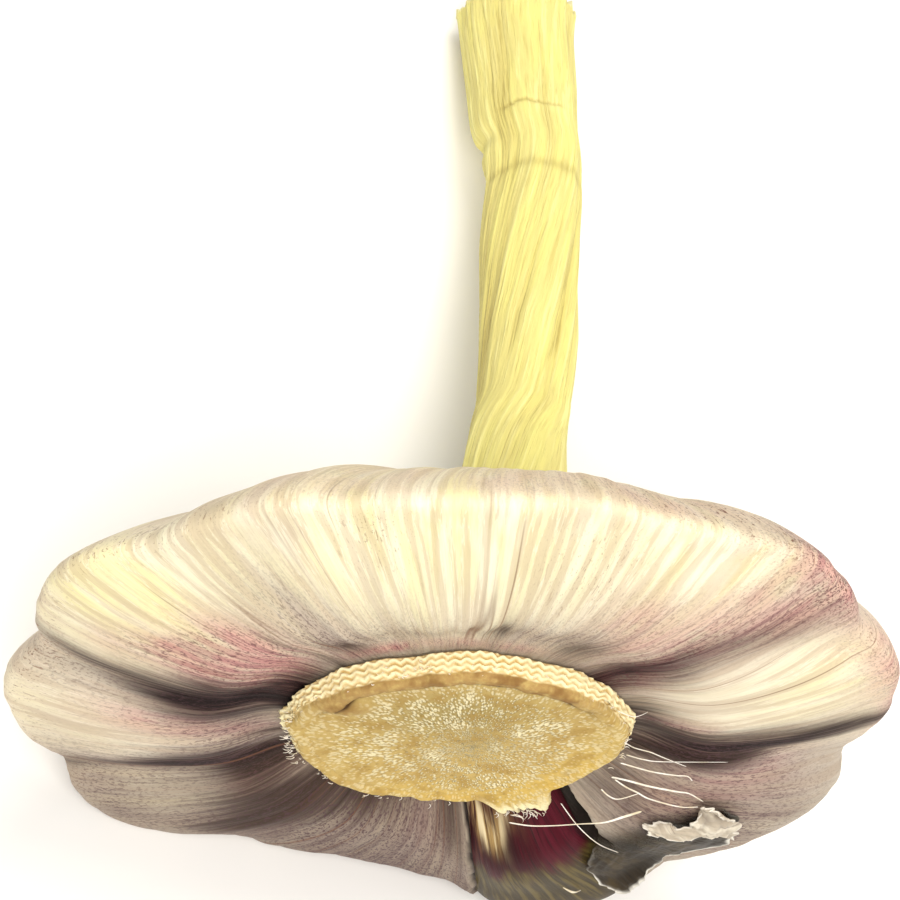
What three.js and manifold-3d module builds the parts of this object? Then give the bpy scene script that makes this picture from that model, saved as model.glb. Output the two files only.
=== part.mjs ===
// Garlic bulb with its dry stem, lying on its side as it rests on a table, in millimetres, +Z up.
// Each piece is drawn in the bulb's own frame first: X across, Y towards the bulb's upper side and Z out of the root
// plate, called out below. It is 0 at the plate's cut face, and the stem runs back towards negative values.
import * as THREE from "three";
import { mergeVertices } from "three/addons/utils/BufferGeometryUtils.js";
import Module from "manifold-3d";

const wasm = await Module();
wasm.setup();

// Driving dimensions
const plateHalfWidth = 12.3;
const plateHalfHeight = 9.6;
const plateThickness = 2.1;
const plateCentre = new THREE.Vector2(0.6, -1.2); // beside the bulb's axis
const equatorOut = -5.2; // where the bulb is widest
const neckOut = -27; // where the shoulders end and the stem begins
const neckRadius = 3.4;
const neckCentre = new THREE.Vector2(5, -10); // the stem leaves right of the middle and low
const stemFlatness = 0.78; // thickness of the stem as a share of its width
const skinThickness = 0.6; // of the torn skins, which are thinner on the real bulb
const gap = 0.3; // between neighbouring pieces
const restTilt = 9.9; // degrees that the plate's end points up as the bulb and the stem's end rest
const restRoll = 16.8; // degrees that it has rolled onto its two lowest cloves

const { degToRad, lerp, smoothstep, clamp, euclideanModulo } = THREE.MathUtils;

// Cloves round the bulb, counted from +X towards +Y: the middle of each in degrees, how far it reaches from the axis,
// how far its front stands out, how full its back shoulder is, and the depth of the groove that follows it.
const cloves = [
  { at: 356, reach: 31.5, front: 0.2, shoulder: 0.62, groove: 0.13 },
  { at: 387, reach: 28.8, front: 0, shoulder: 0.4, groove: 0.08 },
  { at: 419, reach: 23.8, front: 0, shoulder: 0.37, groove: 0.045 },
  { at: 452, reach: 21.9, front: 0, shoulder: 0.4, groove: 0.04 },
  { at: 484, reach: 24.7, front: 0, shoulder: 0.47, groove: 0.08 },
  { at: 516, reach: 29.2, front: 0.3, shoulder: 0.38, groove: 0.15 },
  { at: 548, reach: 31.4, front: 0.2, shoulder: 0.62, groove: 0.11 },
  { at: 578, reach: 32.7, front: 0.3, shoulder: 0.6, groove: 0.15 },
  { at: 612, reach: 27.3, front: 0.8, shoulder: 0.66, groove: 0.07 },
  { at: 645, reach: 31.3, front: 2.8, shoulder: 0.66, groove: 0.09 },
  { at: 683, reach: 33, front: 1, shoulder: 0.58, groove: 0.14 },
];

// The two cloves on either side of an angle, and how far along it lies between their middles.
function between(angle) {
  const a = cloves[0].at + euclideanModulo(angle - cloves[0].at, 360);
  let i = cloves.length - 1;
  while (cloves[i].at > a) i -= 1;
  const here = cloves[i];
  const next = cloves[(i + 1) % cloves.length];
  const span = euclideanModulo(next.at - here.at, 360);
  return { here, next, share: (a - here.at) / span };
}

function cloveValue(angle, key) {
  const { here, next, share } = between(angle);
  return lerp(here[key], next[key], smoothstep(share, 0, 1));
}

// How far the skin sinks between two cloves, 0 on a clove's back. The skin spans the groove, so its bottom is rounded.
function grooveAt(angle) {
  const sharp = (a) => {
    const { here, share } = between(a);
    return here.groove * Math.pow(1 - Math.abs(2 * share - 1), 2.4);
  };
  const span = 2.2;
  return (sharp(angle - span) + 2 * sharp(angle) + sharp(angle + span)) / 4;
}

// Distance from the plate's centre to its edge.
function plateEdge(angle) {
  const a = degToRad(angle);
  return 1 / Math.hypot(Math.cos(a) / plateHalfWidth, Math.sin(a) / plateHalfHeight);
}

// The cloves on the right lean upwards, so their fronts meet the plate further round than their backs reach.
function leanOf(angle, along) {
  const a = euclideanModulo(angle - 180, 360) - 180;
  const onRight = smoothstep(a, -38, -11) * (1 - smoothstep(a, 35, 70));
  return 12 * onRight * (1 - smoothstep(along, 0.16, 0.42));
}

// The meridian of the bulb at an angle, from under the plate over the clove to the neck, with x the radius and y the
// out value. The second angle is where its shape is read among the cloves.
function meridian(angle, cloveAngle) {
  const reach = cloveValue(cloveAngle, "reach");
  const front = cloveValue(cloveAngle, "front");
  const full = cloveValue(cloveAngle, "shoulder");
  const back = (share) => lerp(equatorOut, neckOut, share);
  const edge = plateEdge(angle);
  const across = (share) => lerp(edge, reach, share);
  // radius, out, and the share of the groove that reaches this point
  const stations = [
    [edge - 1.4, -plateThickness - gap, 0],
    [edge + 1.1, -plateThickness - 0.2, 0.5],
    [across(0.3), front - 1.7, 0.95],
    [across(0.6), front - 2.5, 1],
    [across(0.87), front - 4, 1],
    [reach, equatorOut, 1],
    [0.955 * reach, back(0.28 * full), 1],
    [0.77 * reach, back(lerp(0.18, 0.62, full)), 0.9],
    [0.47 * reach, back(lerp(0.5, 0.86, full)), 0.6],
    [0.24 * reach, back(lerp(0.84, 0.96, full)), 0.25],
    [neckRadius + 0.9, neckOut + 0.25, 0.05],
    [neckRadius, neckOut - 1.2, 0],
  ];
  const core = new THREE.Vector2(0.45 * reach, equatorOut - 1.5);
  const points = stations.map(([radius, out, share]) =>
    new THREE.Vector2(radius, out).sub(core).multiplyScalar(1 - grooveAt(cloveAngle) * share).add(core),
  );
  return new THREE.SplineCurve(points);
}

// The bulb's skin at an angle in degrees, along from 0 under the plate to 1 at the neck.
function skinPoint(angle, along) {
  const p = meridian(angle, angle - leanOf(angle, along)).getPoint(clamp(along, 0, 1));
  const centre = plateCentre
    .clone()
    .multiplyScalar(1 - smoothstep(-p.y, 0, -equatorOut))
    .addScaledVector(neckCentre, smoothstep(-p.y, -equatorOut, -neckOut));
  const turn = degToRad(angle);
  return new THREE.Vector3(p.x * Math.cos(turn) + centre.x, p.x * Math.sin(turn) + centre.y, p.y);
}

// The outward normal of the skin.
function skinNormal(angle, along) {
  const step = 0.5;
  const round = skinPoint(angle + step, along).sub(skinPoint(angle - step, along));
  const onward = skinPoint(angle, along + 0.01).sub(skinPoint(angle, along - 0.01));
  return onward.cross(round).normalize();
}

// Up, as the bulb rests, and the level of the table, both in the bulb's own frame. What would reach below the table
// is pressed flat against it.
const tilt = degToRad(restTilt);
const roll = degToRad(restRoll);
const up = new THREE.Vector3(Math.cos(tilt) * Math.sin(roll), Math.cos(tilt) * Math.cos(roll), Math.sin(tilt));
const tableLevel = -28.35;

function pressOntoTable(geometry) {
  const position = geometry.attributes.position;
  const p = new THREE.Vector3();
  for (let i = 0; i < position.count; i += 1) {
    p.fromBufferAttribute(position, i);
    const below = tableLevel - p.dot(up);
    if (below > 0) p.addScaledVector(up, below);
    position.setXYZ(i, p.x, p.y, p.z);
  }
  return geometry;
}

// Moves every vertex of a closed geometry where place() says, and leaves only its merged positions.
function shaped(geometry, place) {
  const position = geometry.attributes.position;
  const p = new THREE.Vector3();
  for (let i = 0; i < position.count; i += 1) {
    place(p.fromBufferAttribute(position, i));
    position.setXYZ(i, p.x, p.y, p.z);
  }
  geometry.deleteAttribute("normal");
  geometry.deleteAttribute("uv");
  return mergeVertices(geometry, 1e-4);
}

function solid(geometry) {
  return new wasm.Manifold(
    new wasm.Mesh({
      numProp: 3,
      vertProperties: new Float32Array(geometry.attributes.position.array),
      triVerts: new Uint32Array(geometry.index.array),
    }),
  );
}

function geometryOf(body) {
  const mesh = body.getMesh();
  return new THREE.BufferGeometry()
    .setAttribute("position", new THREE.BufferAttribute(mesh.vertProperties, 3))
    .setIndex(new THREE.BufferAttribute(mesh.triVerts, 1));
}

// The bulb: all its cloves in their papery skin, flat under the plate and under the stem.
function bulbGeometry() {
  const around = 100;
  const rings = 28;
  return shaped(new THREE.SphereGeometry(1, around, rings), (p) => {
    const ring = Math.round((Math.acos(clamp(p.y, -1, 1)) / Math.PI) * rings);
    const angle = THREE.MathUtils.radToDeg(Math.atan2(p.x, p.z));
    if (ring === 0) p.set(plateCentre.x, plateCentre.y, -plateThickness - gap);
    else if (ring === rings) p.set(neckCentre.x, neckCentre.y, neckOut - 1.2);
    else p.copy(skinPoint(angle, (ring - 1) / (rings - 2)));
  });
}

// A slab that follows the skin: place(u, v) gives the angle and along of its points, with u and v from 0 to 1, and it
// reaches from lift - thickness / 2 to lift + thickness / 2 above the skin.
function slabGeometry(columns, rows, place, lift, thickness) {
  return shaped(new THREE.BoxGeometry(1, 1, 1, columns, 1, rows), (p) => {
    const u = p.x + 0.5;
    const v = p.z + 0.5;
    const height = lift(u, v) + p.y * thickness(u, v);
    const [angle, along] = place(u, v);
    p.copy(skinPoint(angle, along)).addScaledVector(skinNormal(angle, along), height);
  });
}

// The window torn in the skin, with the bare clove that shows in it. Its right edge leans towards the groove.
const windowLeft = 273;
const windowNear = 0.13;
const windowFar = 0.42;
const windowDepth = 3.6;
function inWindow(u, v, margin) {
  const right = lerp(302, 294, v);
  const left = windowLeft + 1.2 * Math.sin(9 * v);
  const angle = lerp(left - margin, right + margin, u);
  const along = lerp(windowNear - margin * 0.004, windowFar + margin * 0.004, v);
  return [angle, along];
}

const bareClove = solid(
  slabGeometry(
    10,
    9,
    (u, v) => inWindow(u, v, 0),
    (u, v) => {
      const edge = Math.max(Math.abs(2 * u - 1) ** 4, Math.abs(2 * v - 1) ** 6);
      return -windowDepth / 2 - 0.25 - 0.35 * edge;
    },
    (u, v) => {
      const edge = Math.max(Math.abs(2 * u - 1) ** 4, Math.abs(2 * v - 1) ** 6);
      return windowDepth - 0.5 - 0.7 * edge;
    },
  ),
);
const windowCut = solid(
  slabGeometry(
    10,
    9,
    (u, v) => inWindow(u, v, 3),
    () => -windowDepth / 2 + 0.8,
    () => windowDepth + 2.4,
  ),
);
const bulb = solid(pressOntoTable(bulbGeometry())).subtract(windowCut);

// The root plate: a dished cut face of dry root stubs, with a crimped rim that widens down to the skin and a tongue of
// the same tissue that hangs over the bare clove. Rings from the middle of the face, round the rim, to the middle
// below, each a share of the way to the edge and an out value.
function plateGeometry() {
  const rings = [
    [0, -0.16],
    [0.22, -0.2],
    [0.44, -0.26],
    [0.6, -0.32],
    [0.75, -0.36],
    [0.79, -0.02],
    [0.9, 0],
    [0.945, -0.2],
    [0.95, -0.6],
    [0.985, -0.95],
    [0.965, -1.3],
    [1, -1.6],
    [0.97, -1.95],
    [0.86, -plateThickness],
    [0, -plateThickness],
  ];
  const profile = rings.map(([share, out]) => new THREE.Vector2(share, out)).reverse();
  return shaped(new THREE.LatheGeometry(profile, 64), (p) => {
    const share = Math.hypot(p.x, p.z);
    const turn = Math.atan2(p.x, p.z);
    const angle = euclideanModulo(THREE.MathUtils.radToDeg(turn), 360);
    const uneven = 0.014 * Math.sin(5 * turn + 1) + 0.012 * Math.sin(8 * turn + 2.4) + 0.008 * Math.sin(19 * turn);
    const tongue = Math.exp(-(((angle - 293) / 9) ** 2)) * smoothstep(p.y, -1.1, -0.5);
    // the ridge inside the rim stands out only on the upper side and at the left
    const ridge = smoothstep(Math.sin(turn - 0.35), -0.2, 0.5) * smoothstep(share, 0.75, 0.79);
    const worn = smoothstep(share, 0.6, 0.79) * (1 - ridge) * 0.25 * (p.y > -0.5 ? 1 : 0);
    const reach = share * plateEdge(angle) * (1 + smoothstep(share, 0.3, 0.9) * (uneven - 0.02 + 0.36 * tongue));
    const out = p.y - worn - 0.3 * tongue * smoothstep(share, 0.8, 0.95);
    p.set(plateCentre.x + reach * Math.cos(turn), plateCentre.y + reach * Math.sin(turn), out);
  });
}

// The dry stem: a flattened tube of withered sheaths. Middles and widths along it, from the neck to the cut end.
const stemMiddles = [
  [5, -10, neckOut - 1.2 - gap * 1.8],
  [5.1, -10.1, -30.5],
  [5.6, -10.3, -35],
  [6.1, -10.8, -41.5],
  [6.45, -11.6, -50.3],
  [6.9, -12.4, -57.7],
  [6.2, -13, -63.5],
  [6.05, -13.4, -67.7],
  [5.7, -13.9, -73],
  [5.7, -14.3, -75.7],
].map(([x, y, out]) => new THREE.Vector3(x, y, out));
const stemWidths = [7.4, 7.1, 6.95, 7.5, 7.7, 7.6, 8.4, 8.8, 9.2, 9.7];

function stemGeometry() {
  const path = new THREE.CatmullRomCurve3(stemMiddles, false, "centripetal");
  const widths = new THREE.SplineCurve(stemWidths.map((width, i) => new THREE.Vector2(i, width)));
  const around = 24;
  return shaped(new THREE.CylinderGeometry(1, 1, 1, around, 30), (p) => {
    const t = 0.5 - p.y;
    const turn = Math.atan2(p.x, p.z);
    const radius = Math.hypot(p.x, p.z);
    const width = widths.getPoint(t).y;
    const folds =
      0.035 * Math.sin(5 * turn + 7 * t) +
      0.03 * Math.sin(8 * turn - 5 * t + 1) +
      0.02 * Math.cos(3 * turn - 24 * t) +
      0.03 * Math.exp(-(((t - 0.745) / 0.012) ** 2)) -
      0.03 * Math.exp(-(((t - 0.775) / 0.012) ** 2));
    const half = (width / 2) * (1 + folds) * radius;
    const middle = path.getPoint(t);
    const onward = path.getTangent(t);
    const across = new THREE.Vector3(1, 0, 0).projectOnPlane(onward).normalize();
    const over = across.clone().cross(onward).normalize();
    const torn = t > 0.999 ? 0.35 * Math.sin(5 * turn + 0.6) + 0.25 * Math.sin(9 * turn) : 0;
    p.copy(middle)
      .addScaledVector(across, half * Math.cos(turn))
      .addScaledVector(over, half * stemFlatness * Math.sin(turn))
      .addScaledVector(onward, torn * radius);
  });
}

// The torn skin: a dry membrane that bridges the groove right of the bare clove, and a crumpled scrap that
// lifts off it.
const membrane = slabGeometry(
  20,
  5,
  (u, v) => {
    const ragged = 0.01 * Math.sin(17 * u) + 0.004 * Math.sin(29 * u + 1);
    const near = lerp(0.225, 0.17, smoothstep(u, 0, 0.7)) + ragged;
    const far = lerp(0.33, 0.232, u) - ragged;
    const along = lerp(near, far, v);
    return [lerp(288 + 5 * Math.sin(3 * v), 327 + 2 * Math.sin(7 * v), u), along];
  },
  (u, v) => 0.65 + 0.25 * (1 + Math.sin(11 * u + 2 * v)) + 0.35 * Math.exp(-(((u - 0.35) / 0.2) ** 2)),
  () => skinThickness,
);
const scrap = slabGeometry(
  12,
  5,
  (u, v) => {
    const ragged = 0.012 * Math.sin(13 * u + 2);
    return [lerp(310 + 3 * Math.sin(5 * v), 327 + 2 * Math.sin(6 * v + 1), u), lerp(0.185, 0.255, v) + ragged];
  },
  (u, v) => 2.75 + 0.3 * Math.sin(15 * u + 3 * v) + 0.25 * Math.sin(11 * v - 4 * u),
  () => skinThickness,
);

const garlic = new THREE.Group();
function add(name, geometry, color, roughness) {
  const mesh = new THREE.Mesh(geometry, new THREE.MeshStandardMaterial({ color, roughness, metalness: 0 }));
  mesh.name = name;
  garlic.add(mesh);
}
add("bulb", geometryOf(bulb), 0xeadcc0, 0.55);
add("root_plate", plateGeometry(), 0xd9bd80, 0.85);
add("stem", pressOntoTable(stemGeometry()), 0xf0e6a0, 0.7);
add("bare_clove", geometryOf(bareClove), 0x6a3f3a, 0.4);
add("torn_skin", membrane, 0xb9a99a, 0.5);
add("torn_scrap", scrap, 0xe4dccf, 0.5);
garlic.rotation.set(Math.PI / 2 - tilt, 0, roll);
garlic.updateMatrixWorld(true);
const box = new THREE.Box3().setFromObject(garlic, true);
const middle = box.getCenter(new THREE.Vector3());
garlic.position.set(-middle.x, -middle.y, -tableLevel);

export default garlic;
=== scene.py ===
import math

import bpy
import numpy as np
from mathutils import Matrix, Vector


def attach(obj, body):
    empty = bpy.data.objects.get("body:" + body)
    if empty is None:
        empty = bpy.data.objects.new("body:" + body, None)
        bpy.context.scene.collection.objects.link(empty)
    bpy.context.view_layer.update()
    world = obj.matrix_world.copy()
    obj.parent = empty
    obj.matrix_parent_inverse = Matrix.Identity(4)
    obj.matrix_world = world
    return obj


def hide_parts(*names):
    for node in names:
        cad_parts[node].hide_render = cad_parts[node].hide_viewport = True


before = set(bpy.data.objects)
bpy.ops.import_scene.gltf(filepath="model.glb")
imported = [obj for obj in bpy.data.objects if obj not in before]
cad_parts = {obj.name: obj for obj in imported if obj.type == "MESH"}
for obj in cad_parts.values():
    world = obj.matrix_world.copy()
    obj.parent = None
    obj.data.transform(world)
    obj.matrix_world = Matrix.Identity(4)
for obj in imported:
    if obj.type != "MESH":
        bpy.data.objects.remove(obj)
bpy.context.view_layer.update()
dice = np.random.default_rng(5)
print("frame loaded")

# The bulb's own frame, in millimetres: x across, y towards its upper side, z out of the cut root plate.
pose = {"tilt": 9.9, "roll": 16.8, "place": (-1.1754, -34.601, 28.35)}
turned = (Matrix.Rotation(math.radians(90 - pose["tilt"]), 3, "X")
          @ Matrix.Rotation(math.radians(pose["roll"]), 3, "Z"))
upWay = np.array(turned.transposed() @ Vector((0, 0, 1)))
tableLevel = -pose["place"][2]

# The photograph is 900 pixels square, and its camera looks at the root plate from above.
camera = {"fromPlate": 56.5, "distance": 260, "pixelsPerMm": 14.55, "middle": 450, "aim": (0.8, 0, 0),
          "aimPixel": (460, 737), "sensor": 36}
lookAngle = math.radians(camera["fromPlate"])
eyeRight = np.array([1.0, 0, 0])
eyeUp = np.array([0, math.cos(lookAngle), -math.sin(lookAngle)])
eyeBack = np.array([0, math.sin(lookAngle), math.cos(lookAngle)])
aimOffset = (np.array(camera["aimPixel"]) - camera["middle"]) / camera["pixelsPerMm"]
eye = np.array(camera["aim"]) - eyeRight * aimOffset[0] + eyeUp * aimOffset[1] + eyeBack * camera["distance"]


def pixelOf(points):
    offset = points - eye
    scale = camera["pixelsPerMm"] * camera["distance"] / -(offset @ eyeBack)
    return camera["middle"] + scale * (offset @ eyeRight), camera["middle"] - scale * (offset @ eyeUp)


def lerp(a, b, t):
    return a + (b - a) * t


def smoothstep(x, low=0.0, high=1.0):
    t = np.clip((x - low) / (high - low), 0, 1)
    return t * t * (3 - 2 * t)


lattice = dice.random((64, 64, 64)) * 2 - 1


def waves(points, octaves=3, shift=0.0):
    # smooth noise from about -1 to 1 at each point
    p = np.asarray(points, dtype=float) + shift
    total, weight, size = 0, 1.0, 0
    for _ in range(octaves):
        low = np.floor(p).astype(int)
        t = (p - low) ** 2 * (3 - 2 * (p - low))
        value = 0
        for corner in np.ndindex(2, 2, 2):
            share = np.prod(np.where(corner, t, 1 - t), axis=-1)
            cell = np.mod(low + corner, 64)
            value = value + share * lattice[cell[..., 0], cell[..., 1], cell[..., 2]]
        total, size, weight = total + weight * value, size + weight, weight * 0.5
        p = p * 2.03 + 11.7
    return total / size * 1.6


def aroundPoint(angle, along, around, onward):
    # a place for noise that has no seam: on a circle, with the way from plate to neck as its height
    a = np.radians(angle)
    return np.stack([np.cos(a) * around, np.sin(a) * around, along * onward], axis=-1)


def splinePoints(stations, along):
    # the curve through the stations of each row, read at each row's share of the way
    count = stations.shape[1]
    p = np.clip(along, 0, 1) * (count - 1)
    at = np.minimum(np.floor(p).astype(int), count - 1)
    t = (p - at)[:, None]
    row = np.arange(len(along))
    p0, p1 = stations[row, np.maximum(at - 1, 0)], stations[row, at]
    p2, p3 = stations[row, np.minimum(at + 1, count - 1)], stations[row, np.minimum(at + 2, count - 1)]
    v0, v1 = (p2 - p0) / 2, (p3 - p1) / 2
    return (2 * p1 - 2 * p2 + v0 + v1) * t ** 3 + (3 * p2 - 3 * p1 - 2 * v0 - v1) * t ** 2 + v0 * t + p1


def onTable(points):
    # presses what would reach below the table flat against it
    below = np.maximum(tableLevel - points @ upWay, 0)
    return points + below[:, None] * upWay


def toWorld(points):
    return (np.asarray(points) @ np.array(turned).T + np.array(pose["place"])) * 0.001


def deselectAll():
    for o in bpy.context.selected_objects:
        o.select_set(False)


def getPoints(obj):
    co = np.empty(len(obj.data.vertices) * 3, dtype=np.float32)
    obj.data.vertices.foreach_get("co", co)
    return co.reshape(-1, 3).astype(float)


def setPoints(obj, points):
    obj.data.vertices.foreach_set("co", np.asarray(points, dtype=np.float32).ravel())
    obj.data.update()


def keepValues(obj, **named):
    # numbers or vectors on the vertices, for the piece's material
    for name, values in named.items():
        values = np.asarray(values, dtype=np.float32)
        kind, field = ("FLOAT", "value") if values.ndim == 1 else ("FLOAT_VECTOR", "vector")
        obj.data.attributes.new(name, kind, "POINT").data.foreach_set(field, values.ravel())


def ball(name, segments, rings):
    # a sphere to be reshaped, with each vertex's turn in degrees and its share of the way between the poles
    deselectAll()
    bpy.ops.mesh.primitive_uv_sphere_add(segments=segments, ring_count=rings, radius=1)
    obj = bpy.context.object
    obj.name = obj.data.name = name
    co = getPoints(obj)
    ring = np.arccos(np.clip(co[:, 2], -1, 1)) / math.pi
    return obj, np.degrees(np.arctan2(co[:, 1], co[:, 0])), np.round(ring * rings) / rings


def grid(name, columns, rows):
    # a flat grid to be reshaped, with each vertex's u and v
    deselectAll()
    bpy.ops.mesh.primitive_grid_add(x_subdivisions=columns, y_subdivisions=rows, size=1)
    obj = bpy.context.object
    obj.name = obj.data.name = name
    co = getPoints(obj)
    return obj, co[:, 0] + 0.5, co[:, 1] + 0.5


def tube(name, path, widths, sides, rings, flatness=1.0):
    # a closed tapering thread swept along a path
    obj, turn, ring = ball(name, sides, rings)
    stations = np.repeat(np.asarray(path, dtype=float)[None], len(ring), axis=0)
    onward = splinePoints(stations, np.minimum(ring + 0.02, 1)) - splinePoints(stations, np.maximum(ring - 0.02, 0))
    onward /= np.linalg.norm(onward, axis=1, keepdims=True)
    across = np.cross(onward, (0, 0, 1.0))
    across /= np.linalg.norm(across, axis=1, keepdims=True)
    over = np.cross(across, onward)
    half = np.interp(ring, np.linspace(0, 1, len(widths)), widths) / 2 * np.minimum(1, 12 * np.sin(math.pi * ring))
    a = np.radians(turn)
    points = (splinePoints(stations, ring) + across * (half * np.cos(a))[:, None]
              - over * (half * flatness * np.sin(a))[:, None])
    setPoints(obj, toWorld(onTable(points)))
    return obj


def joined(name, objects):
    deselectAll()
    for o in objects:
        o.select_set(True)
    bpy.context.view_layer.objects.active = objects[0]
    bpy.ops.object.join()
    objects[0].name = objects[0].data.name = name
    return objects[0]


def solidify(obj, thickness):
    deselectAll()
    obj.select_set(True)
    bpy.context.view_layer.objects.active = obj
    modifier = obj.modifiers.new("thickness", "SOLIDIFY")
    modifier.thickness = thickness * 0.001
    modifier.offset = 0
    bpy.ops.object.modifier_apply(modifier=modifier.name)


def finishPiece(obj, material, slot, *nodes):
    obj.data.materials.clear()
    obj.data.materials.append(material)
    obj.data.polygons.foreach_set("use_smooth", [True] * len(obj.data.polygons))
    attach(obj, "root")
    if nodes:
        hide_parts(*nodes)
    print(obj.name, len(obj.data.polygons), "faces")


# Materials
def linear(code):
    # sRGB hex to a linear colour
    parts = [int(code[i:i + 2], 16) / 255 for i in (0, 2, 4)]
    return tuple(c / 12.92 if c <= 0.04045 else ((c + 0.055) / 1.055) ** 2.4 for c in parts) + (1.0,)


def addNode(tree, kind, inputs=None, output=0, stops=None, **settings):
    # adds a node, sets its properties and inputs, links the inputs that are sockets, and gives one output
    node = tree.nodes.new("ShaderNode" + kind)
    for name, value in settings.items():
        setattr(node, name, value)
    for name, value in (inputs or {}).items():
        if isinstance(value, bpy.types.NodeSocket):
            tree.links.new(value, node.inputs[name])
        else:
            node.inputs[name].default_value = linear(value) if isinstance(value, str) else value
    for index, (place, color) in enumerate(stops or []):
        elements = node.color_ramp.elements
        element = elements[index] if index < len(elements) else elements.new(place)
        element.position, element.color = place, linear(color)
    return node.outputs[output]


def newMaterial(name, **shaderInputs):
    material = bpy.data.materials.new(name)
    material.use_nodes = True
    shader = material.node_tree.nodes["Principled BSDF"]
    for key, value in shaderInputs.items():
        shader.inputs[key.replace("_", " ")].default_value = value
    return material, material.node_tree, shader


def addPatterns(tree, vector, rows):
    # patterns stretched along the growth of the piece, one for each row of name, scale and detail
    patterns = {}
    for name, scale, detail in rows:
        placed = addNode(tree, "Mapping", {"Vector": vector, "Scale": scale})
        patterns[name] = addNode(tree, "TexNoise",
                                 {"Vector": placed, "Scale": 1.0, "Detail": detail, "Roughness": 0.6})
    return patterns


def addLayers(tree, color, patterns, rows):
    # paints one colour after another over the last: each row is a share of the surface kept on its vertices, a
    # pattern, the values at which the pattern starts and ends, how strongly it covers, and the colour
    shares = {row[0]: addNode(tree, "Attribute", output="Fac", attribute_name=row[0]) for row in rows}
    for share, pattern, low, high, strength, paint in rows:
        inputs = {"Value": patterns[pattern], "From Min": low, "From Max": high, "To Max": strength}
        mask = addNode(tree, "MapRange", inputs, interpolation_type="SMOOTHSTEP")
        mask = addNode(tree, "Math", {0: mask, 1: shares[share]}, operation="MULTIPLY", use_clamp=True)
        color = addNode(tree, "Mix", {0: mask, 6: color, 7: paint}, 2, data_type="RGBA")
    return color


def dressShader(tree, shader, color, patterns, relief):
    # gives the shader its colour and its bumps, each a pattern and a height in millimetres
    normal = None
    for pattern, height in relief:
        inputs = {"Height": patterns[pattern], "Distance": height * 0.001, "Strength": 1.0}
        if normal:
            inputs["Normal"] = normal
        normal = addNode(tree, "Bump", inputs)
    tree.links.new(color, shader.inputs["Base Color"])
    tree.links.new(normal, shader.inputs["Normal"])


def makeGarlicSkin():
    # Dry outer leaves of a purple-striped bulb, paper-thin and drawn tight over the cloves. The eye gets a matt
    # cream, fine brown veins, rose and mauve streaks that fan out of the plate, and brown specks on the shoulders.
    # Painted shade darkens the grooves between cloves, the skin under the plate's rim, the floor of the torn window
    # and the lowest cloves, and near-white streaks on the cream patches are painted highlight.
    material, tree, shader = newMaterial("purple-striped garlic skin", Roughness=0.6, Specular_IOR_Level=0.12)
    streak = addNode(tree, "Attribute", output="Vector", attribute_name="streak")
    patterns = addPatterns(tree, streak, [
        ("broad", (4, 4, 2.5), 3), ("band", (11, 11, 2), 3), ("vein", (30, 30, 2.2), 4), ("fine", (90, 90, 5), 4),
        ("hair", (12, 12, 0.4), 0), ("cloud", (9, 9, 9), 5), ("pore", (150, 150, 95), 2), ("dash", (110, 110, 22), 2),
    ])
    # how far a pattern is from its middle value: thin lines where it is near 0
    for name in ("vein", "hair"):
        off = addNode(tree, "Math", {0: patterns[name], 1: 0.5}, operation="SUBTRACT")
        patterns[name + "Line"] = addNode(tree, "Math", {0: off}, operation="ABSOLUTE")
    color = addLayers(tree, "e6dbc8", patterns, [
        ("all", "cloud", 0.4, 0.62, 0.8, "f0e8d6"),
        ("all", "broad", 0.55, 0.35, 0.5, "ddd1b0"),
        ("cream", "broad", 0.2, 0.55, 0.9, "f2eab0"),
        # painted highlight: near-white streaks on the cream patches
        ("cream", "band", 0.42, 0.6, 0.65, "fffbe4"),
        ("all", "vein", 0.6, 0.42, 0.45, "b59b84"),
        ("all", "veinLine", 0.012, 0.0, 0.45, "fff6e4"),
        ("grey", "band", 0.25, 0.6, 0.85, "ab988e"),
        ("grey", "vein", 0.4, 0.62, 0.75, "806a68"),
        ("grey", "fine", 0.52, 0.64, 0.6, "5c464a"),
        ("rose", "cloud", 0.3, 0.6, 0.75, "dfab9e"),
        ("rose", "vein", 0.42, 0.6, 0.62, "a8646c"),
        ("rose", "fine", 0.5, 0.66, 0.55, "643644"),
        # purple-black streaks, and painted shade in the grooves and under the plate
        ("dark", "band", 0.0, 0.3, 0.92, "3e2222"),
        ("dark", "vein", 0.3, 0.55, 0.9, "1e0d0f"),
        ("dark", "fine", 0.42, 0.6, 0.8, "1a0d0d"),
        ("dark", "fine", 0.42, 0.32, 0.3, "8c6c66"),
        ("rose", "pore", 0.53, 0.6, 0.65, "5e383c"),
        # painted shade on the lowest cloves
        ("low", "broad", 0.0, 0.3, 0.48, "5f4e3e"),
        # painted shade under the plate's rim, in the grooves and over the floor of the torn window
        ("deep", "broad", 0.0, 0.2, 1.0, "0d0606"),
        ("line", "hairLine", 0.02, 0.0, 0.7, "7a5440"),
        ("grey", "pore", 0.52, 0.6, 0.8, "543c42"),
        ("speck", "dash", 0.62, 0.68, 0.9, "7a4a34"),
        ("speck", "pore", 0.62, 0.69, 0.9, "6b3c2c"),
        ("edge", "broad", 0.0, 0.2, 0.25, "d8ccb4"),
    ])
    dressShader(tree, shader, color, patterns, [("band", 0.15), ("vein", 0.12), ("fine", 0.06)])
    return material


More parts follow.
